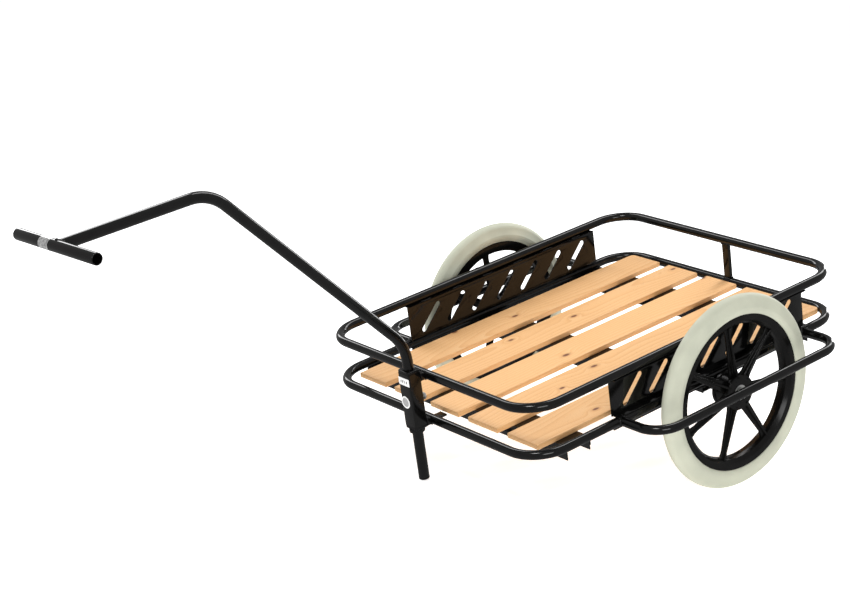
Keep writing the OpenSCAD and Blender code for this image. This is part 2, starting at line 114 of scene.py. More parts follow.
HANDLE = (
    DECK
    @ Matrix.Translation((0, LEG_Y, 0))
    @ Matrix.Rotation(HANDLE_TURN, 4, "Z")
    @ Matrix.Translation((0, -LEG_Y, 0))
)
GRIP_Y = LEG_Y - GRIP_REACH
PLANK_BOTTOM = DECK_Z - PLANK_T


def on_side(side):
    """The deck frame, mirrored across X where side is -1."""
    return DECK @ Matrix.Scale(side, 4, (1, 0, 0))


def on_axle(side):
    """A wheel's frame, whose Z axis is the axle and points outboard."""
    return on_side(side) @ Matrix.Translation(WHEEL) @ Matrix.Rotation(math.pi / 2, 4, "Y")


# ---------------------------------------------------------------- shaping


def rounded(points, radius, closed=False, steps=8):
    """The points of a path or outline, with each corner rounded to radius."""
    points = [Vector(p) for p in points]
    count = len(points)
    out = []
    for i, corner in enumerate(points):
        if not closed and i in (0, count - 1):
            out.append(corner)
            continue
        before = points[i - 1] - corner
        after = points[(i + 1) % count] - corner
        room = 0.499 * min(before.length, after.length)
        before.normalize()
        after.normalize()
        turn = math.pi - before.angle(after)
        if turn < 1e-4:
            out.append(corner)
            continue
        set_back = min(radius * math.tan(turn / 2), room)
        r = set_back / math.tan(turn / 2)
        middle = corner + (before + after).normalized() * r / math.cos(turn / 2)
        start = corner + before * set_back - middle
        end = corner + after * set_back - middle
        for k in range(steps + 1):
            f = k / steps
            a = math.sin((1 - f) * turn) / math.sin(turn)
            b = math.sin(f * turn) / math.sin(turn)
            out.append(middle + start * a + end * b)
    return out


def skin(bm, rings, closed=False, caps=True):
    """Joins rings of equal size with faces, and closes the ends."""
    count = len(rings)
    for i in range(count if closed else count - 1):
        a, b = rings[i], rings[(i + 1) % count]
        for k in range(len(a)):
            n = (k + 1) % len(a)
            bm.faces.new((a[k], a[n], b[n], b[k]))
    if caps and not closed:
        bm.faces.new(list(reversed(rings[0])))
        bm.faces.new(rings[-1])


def tangents(path, closed):
    count = len(path)
    out = []
    for i in range(count):
        before = path[i - 1] if closed or i > 0 else path[i]
        after = path[(i + 1) % count] if closed or i < count - 1 else path[i]
        out.append((after - before).normalized())
    return out


def sweep(bm, path, radius, closed=False, hub=None, sides=SIDES, ease=0.0008):
    """A round bar along a path. hub is a point that the path goes round, if it does.
    radius is a number or a function of the place along the path, from 0 to 1."""
    size = radius if callable(radius) else lambda f: radius
    ways = tangents(path, closed)
    across = ways[0].orthogonal().normalized()
    rings = []
    for i, (point, way) in enumerate(zip(path, ways)):
        if hub is not None:
            across = point - hub
        across = (across - way * across.dot(way)).normalized()
        over = way.cross(across)
        r = size(i / len(path))
        spots = [(0, r)]
        if not closed and i == 0:
            spots = [(0, r - ease), (ease, r)]
        if not closed and i == len(path) - 1:
            spots = [(-ease, r), (0, r - ease)]
        for shift, ring_r in spots:
            ring = []
            for k in range(sides):
                a = 2 * math.pi * k / sides
                spot = point + way * shift + (across * math.cos(a) + over * math.sin(a)) * ring_r
                ring.append(bm.verts.new(spot))
            rings.append(ring)
    skin(bm, rings, closed)
    return rings


def lathe(bm, profile, segments=96, closed=True):
    """Turns a profile of (radius, height) points about Z."""
    rings = []
    for r, z in profile:
        ring = []
        for k in range(segments):
            a = 2 * math.pi * k / segments
            ring.append(bm.verts.new((r * math.cos(a), r * math.sin(a), z)))
        rings.append(ring)
    skin(bm, rings, closed)


def slab(bm, low, high, ease=0.001):
    """A block between two corners, with rounded edges."""
    made = bmesh.ops.create_cube(bm, size=1)["verts"]
    low, high = Vector(low), Vector(high)
    for vert in made:
        vert.co = Vector(low[i] if vert.co[i] < 0 else high[i] for i in range(3))
    edges = list({edge for vert in made for edge in vert.link_edges})
    bmesh.ops.bevel(bm, geom=edges, offset=ease, segments=3, profile=0.5, affect="EDGES")


def prism(bm, outline, start, end, axis):
    """Draws a closed (u, v) outline from start to end along the X or Z axis."""
    rings = []
    for at in (start, end):
        if axis == "X":
            rings.append([bm.verts.new((at, u, v)) for u, v in outline])
        else:
            rings.append([bm.verts.new((u, v, at)) for u, v in outline])
    skin(bm, rings)


def rectangle(width, height, corner, steps=5):
    """A rounded rectangle around the origin, as (x, y) points."""
    x, y = width / 2, height / 2
    corners = [(x, -y, 0), (x, y, 0), (-x, y, 0), (-x, -y, 0)]
    return [(p.x, p.y) for p in rounded(corners, corner, True, steps)]


def circle(radius, sides=48, at=(0, 0)):
    steps = [2 * math.pi * k / sides for k in range(sides)]
    return [(at[0] + radius * math.cos(a), at[1] + radius * math.sin(a)) for a in steps]


def plate(bm, outlines, low, high, place=Matrix.Identity(4), ease=0.0006):
    """A flat plate between two heights: the first outline is its edge and the rest are holes."""
    curve = bpy.data.curves.new("outline", "CURVE")
    curve.dimensions = "2D"
    curve.fill_mode = "BOTH"
    curve.extrude = (high - low) / 2 - ease
    curve.bevel_depth = ease
    curve.bevel_resolution = 2
    curve.offset = -ease
    for outline in outlines:
        spline = curve.splines.new("POLY")
        spline.points.add(len(outline) - 1)
        spline.use_cyclic_u = True
        for point, (x, y) in zip(spline.points, outline):
            point.co = (x, y, 0, 1)
    holder = bpy.data.objects.new("outline", curve)
    mesh = bpy.data.meshes.new_from_object(holder)
    mesh.transform(place @ Matrix.Translation((0, 0, (low + high) / 2)))
    bm.from_mesh(mesh)
    bpy.data.objects.remove(holder)
    bpy.data.curves.remove(curve)
    bpy.data.meshes.remove(mesh)


def hexagon(bm, radius, start, end, chamfer=0.0012):
    """A hexagonal head along Z, with its outer corners turned off."""
    rings = []
    for z, r in ((start, radius), (end - chamfer, radius), (end, radius - chamfer)):
        rings.append([bm.verts.new((x, y, z)) for x, y in circle(r, 6)])
    skin(bm, rings)


def ripple(size, turns):
    """The varying radius of a weld bead that was laid in short steps."""
    return lambda f: size * (0.86 + 0.22 * abs(math.sin(math.pi * turns * f)))


def saddle_weld(bm, at, run, branch, run_r, branch_r, size=BEAD):
    """A bead where a branch tube meets the side of another tube."""
    run, branch = Vector(run), Vector(branch).normalized()
    across = run.cross(branch)
    path = []
    for k in range(120):
        a = 2 * math.pi * k / 120
        reach = math.sqrt(max(0.0, run_r**2 - (branch_r * math.sin(a)) ** 2))
        side = run * math.cos(a) + across * math.sin(a)
        path.append(Vector(at) + side * branch_r + branch * reach)
    sweep(bm, path, ripple(size, 26), closed=True, hub=Vector(at), sides=12)


def line_weld(bm, start, end, size=BEAD):
    """A straight bead."""
    start, end = Vector(start), Vector(end)
    count = max(6, int((end - start).length / 0.0006))
    path = [start.lerp(end, k / count) for k in range(count + 1)]
    turns = max(2, round((end - start).length / 0.0018))
    sweep(bm, path, ripple(size, turns), sides=12)


def piece(name, bm, body, material, place=DECK, nodes=(), smooth=38):
    """Turns the mesh work into a piece that rides on a body and stands for CAD nodes."""
    bmesh.ops.remove_doubles(bm, verts=bm.verts, dist=1e-7)
    bmesh.ops.recalc_face_normals(bm, faces=bm.faces)
    mesh = bpy.data.meshes.new(name)
    bm.to_mesh(mesh)
    bm.free()
    mesh.transform(place)
    if place.is_negative:
        mesh.flip_normals()
    mesh.polygons.foreach_set("use_smooth", [True] * len(mesh.polygons))
    mesh.set_sharp_from_angle(angle=math.radians(smooth))
    mesh.materials.append(material)
    made = bpy.data.objects.new(name, mesh)
    SCENE.collection.objects.link(made)
    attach(made, body)
    if nodes:
        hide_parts(*nodes)
    return made


# ---------------------------------------------------------------- materials


class Nodes:
    """Short calls for wiring one material."""

    def __init__(self, name):
        self.material = bpy.data.materials.new(name)
        self.material.use_nodes = True
        self.tree = self.material.node_tree
        self.shader = self.tree.nodes["Principled BSDF"]
        self.place = self.tree.nodes.new("ShaderNodeTexCoord").outputs["Object"]

    def add(self, kind, **settings):
        node = self.tree.nodes.new(kind)
        for key, value in settings.items():
            setattr(node, key, value)
        return node

    def link(self, source, target):
        self.tree.links.new(source, target)

    def mapped(self, move=(0, 0, 0), scale=(1, 1, 1), turn=(0, 0, 0)):
        node = self.add("ShaderNodeMapping")
        node.inputs["Location"].default_value = move
        node.inputs["Rotation"].default_value = turn
        node.inputs["Scale"].default_value = scale
        self.link(self.place, node.inputs["Vector"])
        return node.outputs["Vector"]

    def noise(self, scale, detail=3, vector=None):
        node = self.add("ShaderNodeTexNoise")
        node.inputs["Scale"].default_value = scale
        node.inputs["Detail"].default_value = detail
        self.link(vector or self.place, node.inputs["Vector"])
        return node.outputs["Fac"]

    def math(self, operation, a, b=0.0, clamp=False):
        node = self.add("ShaderNodeMath", operation=operation, use_clamp=clamp)
        for socket, value in zip(node.inputs, (a, b)):
            if isinstance(value, (int, float)):
                socket.default_value = value
            else:
                self.link(value, socket)
        return node.outputs[0]

    def ramp(self, source, *stops):
        node = self.add("ShaderNodeValToRGB")
        band = node.color_ramp
        while len(band.elements) < len(stops):
            band.elements.new(0.5)
        for element, (at, colour) in zip(band.elements, stops):
            element.position = at
            element.color = (*colour, 1)
        self.link(source, node.inputs["Fac"])
        return node.outputs["Color"]

    def spread(self, source, low, high):
        node = self.add("ShaderNodeMapRange")
        node.inputs["To Min"].default_value = low
        node.inputs["To Max"].default_value = high
        self.link(source, node.inputs["Value"])
        return node.outputs["Result"]

    def mix(self, factor, a, b):
        node = self.add("ShaderNodeMix", data_type="RGBA")
        self.link(factor, node.inputs["Factor"])
        for socket, value in ((node.inputs[6], a), (node.inputs[7], b)):
            if isinstance(value, tuple):
                socket.default_value = (*value, 1)
            else:
                self.link(value, socket)
        return node.outputs[2]

    def bump(self, height, distance, strength=1.0, after=None):
        node = self.add("ShaderNodeBump")
        node.inputs["Strength"].default_value = strength
        node.inputs["Distance"].default_value = distance
        self.link(height, node.inputs["Height"])
        if after is not None:
            self.link(after, node.inputs["Normal"])
        return node.outputs["Normal"]

    def done(self, colour=None, rough=None, normal=None, **fixed):
        for name, value in (("Base Color", colour), ("Roughness", rough), ("Normal", normal)):
            if value is not None:
                self.link(value, self.shader.inputs[name])
        for name, value in fixed.items():
            label = name.replace("_", " ").title().replace("Ior", "IOR")
            self.shader.inputs[label].default_value = value
        return self.material


def paint_material():
    """Gloss black paint: a clear coat over orange peel, faint dust and a few scuffs."""
    m = Nodes("black_powder_coat")
    peel = m.noise(420, 2)
    dust = m.noise(38, 5)
    scuff = m.noise(60, 6, m.mapped(scale=(1, 0.15, 1), turn=(0.3, 0.2, 0.7)))
    scuffed = m.ramp(scuff, (0.70, (0, 0, 0)), (0.78, (1, 1, 1)))
    clean = m.ramp(dust, (0.35, (0.0014, 0.0014, 0.0014)), (0.75, (0.0036, 0.0034, 0.0031)))
    colour = m.mix(scuffed, clean, (0.011, 0.0105, 0.010))
    rough = m.math("ADD", m.spread(dust, 0.30, 0.45), m.math("MULTIPLY", scuffed, 0.10))
    peeled = m.bump(peel, 0.00004, 0.3)
    return m.done(
        colour, rough, peeled, specular_ior_level=0.0, coat_weight=0.75, coat_roughness=0.12
    )


def plastic_material(name, dark, light, grain, rough_low, rough_high, depth=0.00006):
    """Moulded plastic with a fine spark-eroded grain."""
    m = Nodes(name)
    tint = m.noise(24, 4)
    fine = m.noise(grain, 3)
    colour = m.ramp(tint, (0.3, dark), (0.7, light))
    rough = m.spread(tint, rough_low, rough_high)
    normal = m.bump(fine, depth, 0.5)
    return m.done(
        colour, rough, normal, specular_ior_level=0.0, coat_weight=0.45, coat_roughness=0.20
    )


def steel_material():
    """Zinc-plated steel with a patchy sheen."""
    m = Nodes("zinc_plated_steel")
    patch = m.noise(90, 4)
    fine = m.noise(1400, 2)
    colour = m.ramp(patch, (0.3, (0.50, 0.50, 0.49)), (0.7, (0.68, 0.68, 0.66)))
    return m.done(colour, m.spread(patch, 0.22, 0.40), m.bump(fine, 0.00002, 0.4), metallic=1.0)


def tyre_material():
    """Pale foamed rubber, a little dusty, with fine moulding lines."""
    m = Nodes("pale_tyre")
    cloud = m.noise(14, 5)
    fine = m.noise(900, 3)
    speck = m.noise(260, 4)
    base = m.ramp(cloud, (0.3, (0.500, 0.515, 0.410)), (0.7, (0.600, 0.612, 0.488)))
    spots = m.ramp(speck, (0.70, (0, 0, 0)), (0.80, (1, 1, 1)))
    colour = m.mix(m.math("MULTIPLY", spots, 0.25), base, (0.42, 0.42, 0.34))
    return m.done(colour, m.spread(cloud, 0.55, 0.72), m.bump(fine, 0.00008, 0.5))


def foil_material():
    """Crinkled silver foil, with painted shade in the hollows of its crinkles and painted
    highlights on their ridges.
    """
    m = Nodes("silver_foil_painted_shade")
    crinkle_and_painted_shade = m.noise(260, 5)
    # Painted shade and highlights: the colour follows the crinkles' height, dark in the hollows and
    # light on the ridges
    colour = m.ramp(crinkle_and_painted_shade, (0.35, (0.36, 0.36, 0.36)), (0.65, (0.80, 0.80, 0.79)))
    return m.done(colour, m.spread(crinkle_and_painted_shade, 0.25, 0.5), m.bump(crinkle_and_painted_shade, 0.0004, 0.6), metallic=0.75)


def paper_material(name, dark, light):
    m = Nodes(name)
    fibre = m.noise(700, 4)
    colour = m.ramp(fibre, (0.3, dark), (0.7, light))
    return m.done(colour, m.spread(fibre, 0.42, 0.55), m.bump(fibre, 0.00002, 0.4))


# Knots of each plank: across from its middle, along the deck, and size
KNOTS = [
    [(0.0028, 0.008, 0.0055), (-0.0414, -0.128, 0.0050)],
    [(-0.006, 0.082, 0.0055), (-0.023, -0.085, 0.0045), (-0.0179, 0.398, 0.0045)],
    [(0.0155, -0.069, 0.0060), (-0.0418, 0.396, 0.0045)],
    [(-0.0145, -0.073, 0.0055), (0.0106, -0.184, 0.0045)],
    [(0.018, -0.210, 0.0050), (-0.020, 0.080, 0.0055)],
]
PLANK_SHADE = [0.90, 0.95, 1.0, 0.97, 0.89]


def wood_material(i):
    """Planed pine whose growth rings run through the plank, so its ends show them too."""
    m = Nodes(f"pine_{i + 1}")
    turned = m.mapped(turn=(-PITCH, 0, 0))
    split = m.add("ShaderNodeSeparateXYZ")
    m.link(turned, split.inputs[0])
    flat = Matrix.Rotation(-PITCH, 3, "X")
    deck_origin = flat @ DECK.translation
    x = m.math("SUBTRACT", split.outputs[0], (i - 2) * PLANK_PITCH)
    y = m.math("SUBTRACT", split.outputs[1], deck_origin.y)
    z = m.math("SUBTRACT", split.outputs[2], deck_origin.z)
    swirl, core, halo = None, None, None
    for across, along, size in KNOTS[i]:
        dx = m.math("SUBTRACT", x, across)
        dy = m.math("MULTIPLY", m.math("SUBTRACT", y, along), 0.55)
        away = m.math("SQRT", m.math("ADD", m.math("MULTIPLY", dx, dx), m.math("MULTIPLY", dy, dy)))
        near = m.math("SUBTRACT", 1.0, m.math("DIVIDE", away, size * 5), True)
        centre_part = m.math("SUBTRACT", 1.0, m.math("DIVIDE", away, size), True)
        ring_part = m.math("SUBTRACT", 1.0, m.math("DIVIDE", away, size * 2), True)
        swirl = near if swirl is None else m.math("MAXIMUM", swirl, near)
        core = centre_part if core is None else m.math("MAXIMUM", core, centre_part)
        halo = ring_part if halo is None else m.math("MAXIMUM", halo, ring_part)
    join = m.add("ShaderNodeCombineXYZ")
    pith_x, pith_z = (0.035, -0.020, 0.055, -0.045, 0.010)[i], -0.045
    bends = []
    for seed, reach in ((3.1, 0.060), (8.7, 0.075)):
        place = m.mapped(move=(i * 5.3 + seed, 0, 0), scale=(1.2, 2.4, 1.2))
        bends.append(m.math("MULTIPLY", m.math("SUBTRACT", m.noise(1.0, 1, place), 0.5), reach))
    m.link(m.math("ADD", m.math("SUBTRACT", x, pith_x), bends[0]), join.inputs[0])
    m.link(m.math("MULTIPLY", y, 0.05), join.inputs[1])
    m.link(m.math("ADD", m.math("SUBTRACT", z, pith_z), bends[1]), join.inputs[2])
    rings = m.add("ShaderNodeTexWave", wave_type="RINGS", rings_direction="Y", wave_profile="SAW")
    rings.inputs["Scale"].default_value = 44
    rings.inputs["Distortion"].default_value = 3.0
    rings.inputs["Detail"].default_value = 3
    rings.inputs["Detail Scale"].default_value = 0.55
    m.link(join.outputs[0], rings.inputs["Vector"])
    swirl_phase = m.math("MULTIPLY", m.math("MULTIPLY", swirl, swirl), 16.0)
    m.link(m.math("ADD", swirl_phase, i * 2.3), rings.inputs["Phase Offset"])
    shade = PLANK_SHADE[i]
    pale = tuple(shade * c for c in (0.930, 0.575, 0.275))
    warm = tuple(shade * c for c in (0.890, 0.500, 0.210))
    late = tuple(shade * c for c in (0.760, 0.370, 0.125))
    banded = m.ramp(rings.outputs["Fac"], (0.0, pale), (0.62, warm), (0.93, late), (1.0, pale))
    strength = m.noise(1.0, 2, m.mapped(move=(i * 3.7, 0, 0), scale=(26, 3.5, 26)))
    grain = m.mix(m.spread(strength, 0.25, 1.0), warm, banded)
    fibre = m.noise(1.0, 4, m.mapped(turn=(-PITCH, 0, 0), scale=(900, 26, 900)))
    broad = m.noise(9, 3)
    streaked = m.mix(m.spread(fibre, 0.0, 0.22), grain, late)
    toned = m.mix(m.spread(broad, 0.0, 0.28), streaked, pale)
    haloed = m.mix(m.math("MULTIPLY", halo, 0.7), toned, (0.520, 0.215, 0.070))
    fleck = m.noise(1.0, 2, m.mapped(turn=(-PITCH, 0, 0), scale=(1500, 120, 1500)))
    flecks = m.ramp(fleck, (0.66, (0, 0, 0)), (0.72, (0.75, 0.75, 0.75)))
    flecked = m.mix(flecks, haloed, (0.330, 0.130, 0.045))
    colour = m.mix(m.math("MULTIPLY", core, 2.2, True), flecked, (0.190, 0.066, 0.022))
    normal = m.bump(fibre, 0.00012, 0.35)
    normal = m.bump(rings.outputs["Fac"], 0.00010, 0.25, normal)
    return m.done(colour, m.spread(fibre, 0.48, 0.66), normal)


PAINT = paint_material()
STEEL = steel_material()
TYRE = tyre_material()
FOIL = foil_material()
WHEEL_PLASTIC = plastic_material(
    "wheel_plastic", (0.0022, 0.0021, 0.0020), (0.0052, 0.0050, 0.0046), 1100, 0.34, 0.48
)
BUSH_PLASTIC = plastic_material(
    "bush_plastic", (0.003, 0.003, 0.003), (0.009, 0.009, 0.009), 330, 0.18, 0.42, 0.0005
)
LABEL_PAPER = paper_material("label_paper", (0.80, 0.80, 0.79), (0.90, 0.90, 0.89))
LABEL_INK = paper_material("label_ink", (0.05, 0.05, 0.05), (0.10, 0.10, 0.10))
BADGE_GREY = paper_material("badge_grey", (0.28, 0.28, 0.28), (0.42, 0.42, 0.42))

# ---------------------------------------------------------------- frame


def rail(name, node, z):
    """A closed loop of tube, with the butt weld that joins its ends."""
    bm = bmesh.new()
    corners = [
        (HALF_W, -HALF_L, z),
        (HALF_W, HALF_L, z),
        (-HALF_W, HALF_L, z),
        (-HALF_W, -HALF_L, z),
    ]
    hub = Vector((0, 0, z))
    sweep(bm, rounded(corners, CORNER_R, True, 20), TUBE_R, closed=True, hub=hub)
    seam_y = -0.010
    seam = Vector((-HALF_W, seam_y, z))
    turns = [2 * math.pi * k / 48 for k in range(48)]
    path = [seam + Vector((math.cos(a), 0, math.sin(a))) * TUBE_R for a in turns]
    sweep(bm, path, ripple(0.0009, 16), closed=True, hub=seam, sides=10)
    piece(name, bm, "cart", PAINT, nodes=[node])


def rear_post():
    bm = bmesh.new()
    left, right = POST_X - POST_W / 2, POST_X + POST_W / 2
    front, back = HALF_L - POST_T / 2, HALF_L + POST_T / 2
    slab(bm, (left, front, 0), (right, back, RAIL_GAP), 0.0016)
    reach = math.sqrt(TUBE_R**2 - (POST_T / 2) ** 2)
    for z in (reach, RAIL_GAP - reach):
        for y in (front, back):
            line_weld(bm, (left, y, z), (right, y, z))
    piece("rear_post_bar", bm, "cart", PAINT, nodes=["rear_post"])


def side_panel(side, word):
    """A slotted sheet with its upper and lower edges folded outwards."""
    bm = bmesh.new()
    x = HALF_W - TUBE_R - PANEL_T
    low, high = TUBE_R, RAIL_GAP - TUBE_R
    y0, y1 = PANEL_Y - PANEL_L / 2, PANEL_Y + PANEL_L / 2
    corners = [(y0, low, 0), (y1, low, 0), (y1, high, 0), (y0, high, 0)]
    edge = [(p.x, p.y) for p in rounded(corners, 0.0012, True, 3)]
    outlines = [edge]
    slope = math.radians(45)
    for i in range(SLOT_COUNT):
        y = PANEL_Y + (i - (SLOT_COUNT - 1) / 2) * SLOT_PITCH
        slot = rectangle(SLOT_L + SLOT_W, SLOT_W, SLOT_W / 2, 8)
        turned = []
        for u, v in slot:
            along = u * math.cos(slope) - v * math.sin(slope)
            up = u * math.sin(slope) + v * math.cos(slope)
            turned.append((y + along, SLOT_Z + up))
        outlines.append(turned)
    upright = Matrix(((0, 0, 1, x), (1, 0, 0, 0), (0, 1, 0, 0), (0, 0, 0, 1)))
    plate(bm, outlines, 0, PANEL_T, upright, 0.0004)
    for z in (low, high - PANEL_T):
        slab(bm, (x, y0 + 0.003, z), (x + PANEL_FLANGE, y1 - 0.003, z + PANEL_T), 0.0004)
    for z in (low, high):
        for k in range(6):
            y = y0 + 0.040 + k * (PANEL_L - 0.105) / 5
            line_weld(bm, (x + PANEL_T, y, z), (x + PANEL_T, y + 0.025, z), 0.0015)
    nodes = [f"side_panel_{word}"]
    piece(f"side_panel_sheet_{word}", bm, "cart", PAINT, on_side(side), nodes)


def wheel_guard(side, word):
    """A U of tube outside the wheel, with a bead where each end meets the rail."""
    bm = bmesh.new()
    outer = HALF_W + GUARD_REACH
    front, back = GUARD_Y - GUARD_L / 2, GUARD_Y + GUARD_L / 2
    corners = [(HALF_W, front, 0), (outer, front, 0), (outer, back, 0), (HALF_W, back, 0)]
    sweep(bm, rounded(corners, GUARD_BEND_R, steps=20), TUBE_R)
    for y in (front, back):
        saddle_weld(bm, (HALF_W, y, 0), (0, 1, 0), (1, 0, 0), TUBE_R, TUBE_R * 0.995, 0.0026)
    nodes = [f"wheel_guard_{word}"]
    piece(f"wheel_guard_tube_{word}", bm, "cart", PAINT, on_side(side), nodes)


def cross_member(y, word):
    """An inverted channel folded from sheet."""
    bm = bmesh.new()
    w, t = MEMBER_W / 2, MEMBER_T
    top, bottom = PLANK_BOTTOM, PLANK_BOTTOM - MEMBER_H
    outline = [(y - w, bottom), (y - w, top), (y + w, top), (y + w, bottom)]
    inside = [(y + w - t, bottom), (y + w - t, top - t), (y - w + t, top - t), (y - w + t, bottom)]
    points = [(u, v, 0) for u, v in outline + inside]
    eased = [(p.x, p.y) for p in rounded(points, 0.0011, True, 4)]
    end = HALF_W - TUBE_R
    prism(bm, eased, -end, end, "X")
    weld_low, weld_high = top - 0.020, top - 0.002
    for side in (-1, 1):
        for edge in (y - w, y + w):
            line_weld(bm, (side * end, edge, weld_low), (side * end, edge, weld_high), 0.0016)
    nodes = [f"cross_member_{word}"]
    piece(f"cross_member_channel_{word}", bm, "cart", PAINT, nodes=nodes)


def front_lug():
    bm = bmesh.new()
    lug_w, lug_l, lug_t = 0.021, 0.038, 0.004
    low = (-lug_w / 2, -HALF_L, PLANK_BOTTOM - lug_t)
    slab(bm, low, (lug_w / 2, -HALF_L + lug_l, PLANK_BOTTOM), 0.0008)
    y = -HALF_L + TUBE_R * 0.86
    line_weld(bm, (-lug_w / 2, y, PLANK_BOTTOM), (lug_w / 2, y, PLANK_BOTTOM), 0.0016)
    piece("front_lug_plate", bm, "cart", PAINT, nodes=["front_lug"])


# ---------------------------------------------------------------- deck


def plank(i):
    bm = bmesh.new()
    x = (i - 2) * PLANK_PITCH
    left, right = x - PLANK_W / 2, x + PLANK_W / 2
    front, back = PLANK_Y - PLANK_L / 2, PLANK_Y + PLANK_L / 2
    corners = [(left, front, 0), (right, front, 0), (right, back, 0), (left, back, 0)]
    if i in (0, 4):
        at = 3 if i == 0 else 2
        bend = [corners[at - 1], corners[at], corners[(at + 1) % 4]]
        corners[at : at + 1] = [tuple(p) for p in rounded(bend, PLANK_CORNER_R, steps=10)[1:-1]]
    plate(bm, [[(u, v) for u, v, _ in corners]], PLANK_BOTTOM, DECK_Z, ease=0.0013)
    nodes = [f"plank_{i + 1}"]
    piece(f"plank_board_{i + 1}", bm, "cart", wood_material(i), nodes=nodes)


def plank_screws():
    """Pan-head screws under the cross members, each with a driving recess."""
    bm = bmesh.new()
    seat = PLANK_BOTTOM - MEMBER_T
    profile = [(0.0020, seat + 0.009), (0.0020, seat), (0.0045, seat), (0.0045, seat - 0.0009)]
    profile += [(0.0038, seat - 0.0019), (0.0022, seat - 0.0025), (0.0016, seat - 0.0025)]
    profile += [(0.0010, seat - 0.0010)]
    for i in range(-2, 3):
        for j in (-1, 0, 1):
            for k in (-1, 1):
                before = set(bm.verts)
                lathe(bm, profile, 20, closed=False)
                x = i * PLANK_PITCH + k * SCREW_OFFSET
                spot = Vector((x, MEMBER_Y + j * MEMBER_PITCH, 0))
                for vert in set(bm.verts) - before:
                    vert.co += spot
    piece("plank_screw_set", bm, "cart", STEEL, nodes=["plank_screws"])


# ---------------------------------------------------------------- axles

AXLE_TURN = Matrix.Translation((0, WHEEL.y, WHEEL.z)) @ Matrix.Rotation(math.pi / 2, 4, "Y")


def axle_bracket(side, word):
    """The axle's housing tube, its hanger, gusset plates and the plate under the rail."""
    bm = bmesh.new()
    start, end, outer_r = 0.266, 0.333, 0.012
    profile = [(AXLE_R, start), (outer_r - 0.0008, start), (outer_r, start + 0.0008)]
    profile += [(outer_r, end - 0.0008), (outer_r - 0.0008, end), (AXLE_R, end)]
    lathe(bm, profile, 64)
    bmesh.ops.transform(bm, matrix=AXLE_TURN, verts=bm.verts)
    hang_x = HALF_W - TUBE_R + 0.0005
    hang_y = WHEEL.y - 0.009
    slab(bm, (hang_x, hang_y, WHEEL.z + 0.006), (hang_x + 0.015, hang_y + 0.018, -0.004), 0.0012)
    back = MEMBER_Y + MEMBER_W / 2
    bottom = PLANK_BOTTOM - MEMBER_H
    for x in (start + 0.005, end - 0.025):
        slab(bm, (x, back, bottom), (x + 0.005, WHEEL.y, bottom + 0.022), 0.0008)
        line_weld(bm, (x + 0.005, back, bottom), (x + 0.005, back, bottom + 0.022), 0.0016)
    carrier_x = HALF_W - TUBE_R + 0.0001
    low = (carrier_x, PANEL_Y - PANEL_L / 2, -0.019)
    slab(bm, low, (carrier_x + 0.003, PANEL_Y + PANEL_L / 2, -0.005), 0.0006)
    nodes = [f"axle_bracket_{word}"]
    piece(f"axle_housing_{word}", bm, "cart", PAINT, on_side(side), nodes)


def axle(side, word):
    """A stub axle bolt with its head outboard."""
    bm = bmesh.new()
    head = WHEEL.x + RIM_HALF + RUNNING_GAP + WASHER_T
    tip = 0.2461
    profile = [(AXLE_R - 0.0008, tip), (AXLE_R, tip + 0.0008), (AXLE_R, head)]
    lathe(bm, profile, 48, closed=False)
    hexagon(bm, 0.0105, head, head + 0.008, 0.0014)
    place = on_side(side) @ AXLE_TURN
    piece(f"axle_bolt_{word}", bm, "cart", STEEL, place, [f"axle_{word}"])


def axle_hardware():
    """The nuts and the washers of both axles."""
    head = WHEEL.x + RIM_HALF + RUNNING_GAP + WASHER_T
    nuts, washers = bmesh.new(), bmesh.new()
    for side in (-1, 1):
        turn = Matrix.Scale(side, 4, (1, 0, 0)) @ AXLE_TURN
        for bm in (nuts, washers):
            before = set(bm.verts)
            if bm is nuts:
                plate(bm, [circle(0.0105, 6), circle(AXLE_R, 32)], 0.256, 0.2659, ease=0.0008)
            else:
                ring = [circle(WASHER_R, 64), circle(AXLE_R, 32)]
                plate(bm, ring, head - WASHER_T, head, ease=0.0004)
            new = [vert for vert in bm.verts if vert not in before]
            bmesh.ops.transform(bm, matrix=turn, verts=new)
    piece("axle_nut_pair", nuts, "cart", STEEL, nodes=["axle_nuts"])
    piece("axle_washer_pair", washers, "cart", STEEL, nodes=["axle_washers"])


def spacer(side, word):
    bm = bmesh.new()
    start, end = 0.3331, WHEEL.x + HUB_INNER - RUNNING_GAP
    corners = [(AXLE_R, start, 0), (0.009, start, 0), (0.009, end, 0), (AXLE_R, end, 0)]
    lathe(bm, [(p.x, p.y) for p in rounded(corners, 0.0005, True, 3)], 48)
    place = on_side(side) @ AXLE_TURN
    piece(f"axle_spacer_{word}", bm, "cart", STEEL, place, [f"spacer_{word}"])


# ---------------------------------------------------------------- wheels


def rim(bm):
    """The tyre channel, with an inner face that opens towards the outer lip."""
    lip = RIM_HALF - 0.004
    corners = [
        (RIM_INNER_R, -RIM_HALF, 0),
        (RIM_R, -RIM_HALF, 0),
        (RIM_R, -lip, 0),
        (BEAD_R, -lip, 0),
        (BEAD_R, lip, 0),
        (RIM_R, lip, 0),
        (RIM_R, RIM_HALF, 0),
        (RIM_LIP_R, RIM_HALF, 0),
        (RIM_INNER_R + 0.002, RIM_HALF - 0.0075, 0),
        (RIM_INNER_R, -0.002, 0),
    ]
    lathe(bm, [(p.x, p.y) for p in rounded(corners, 0.0012, True, 4)], 168)


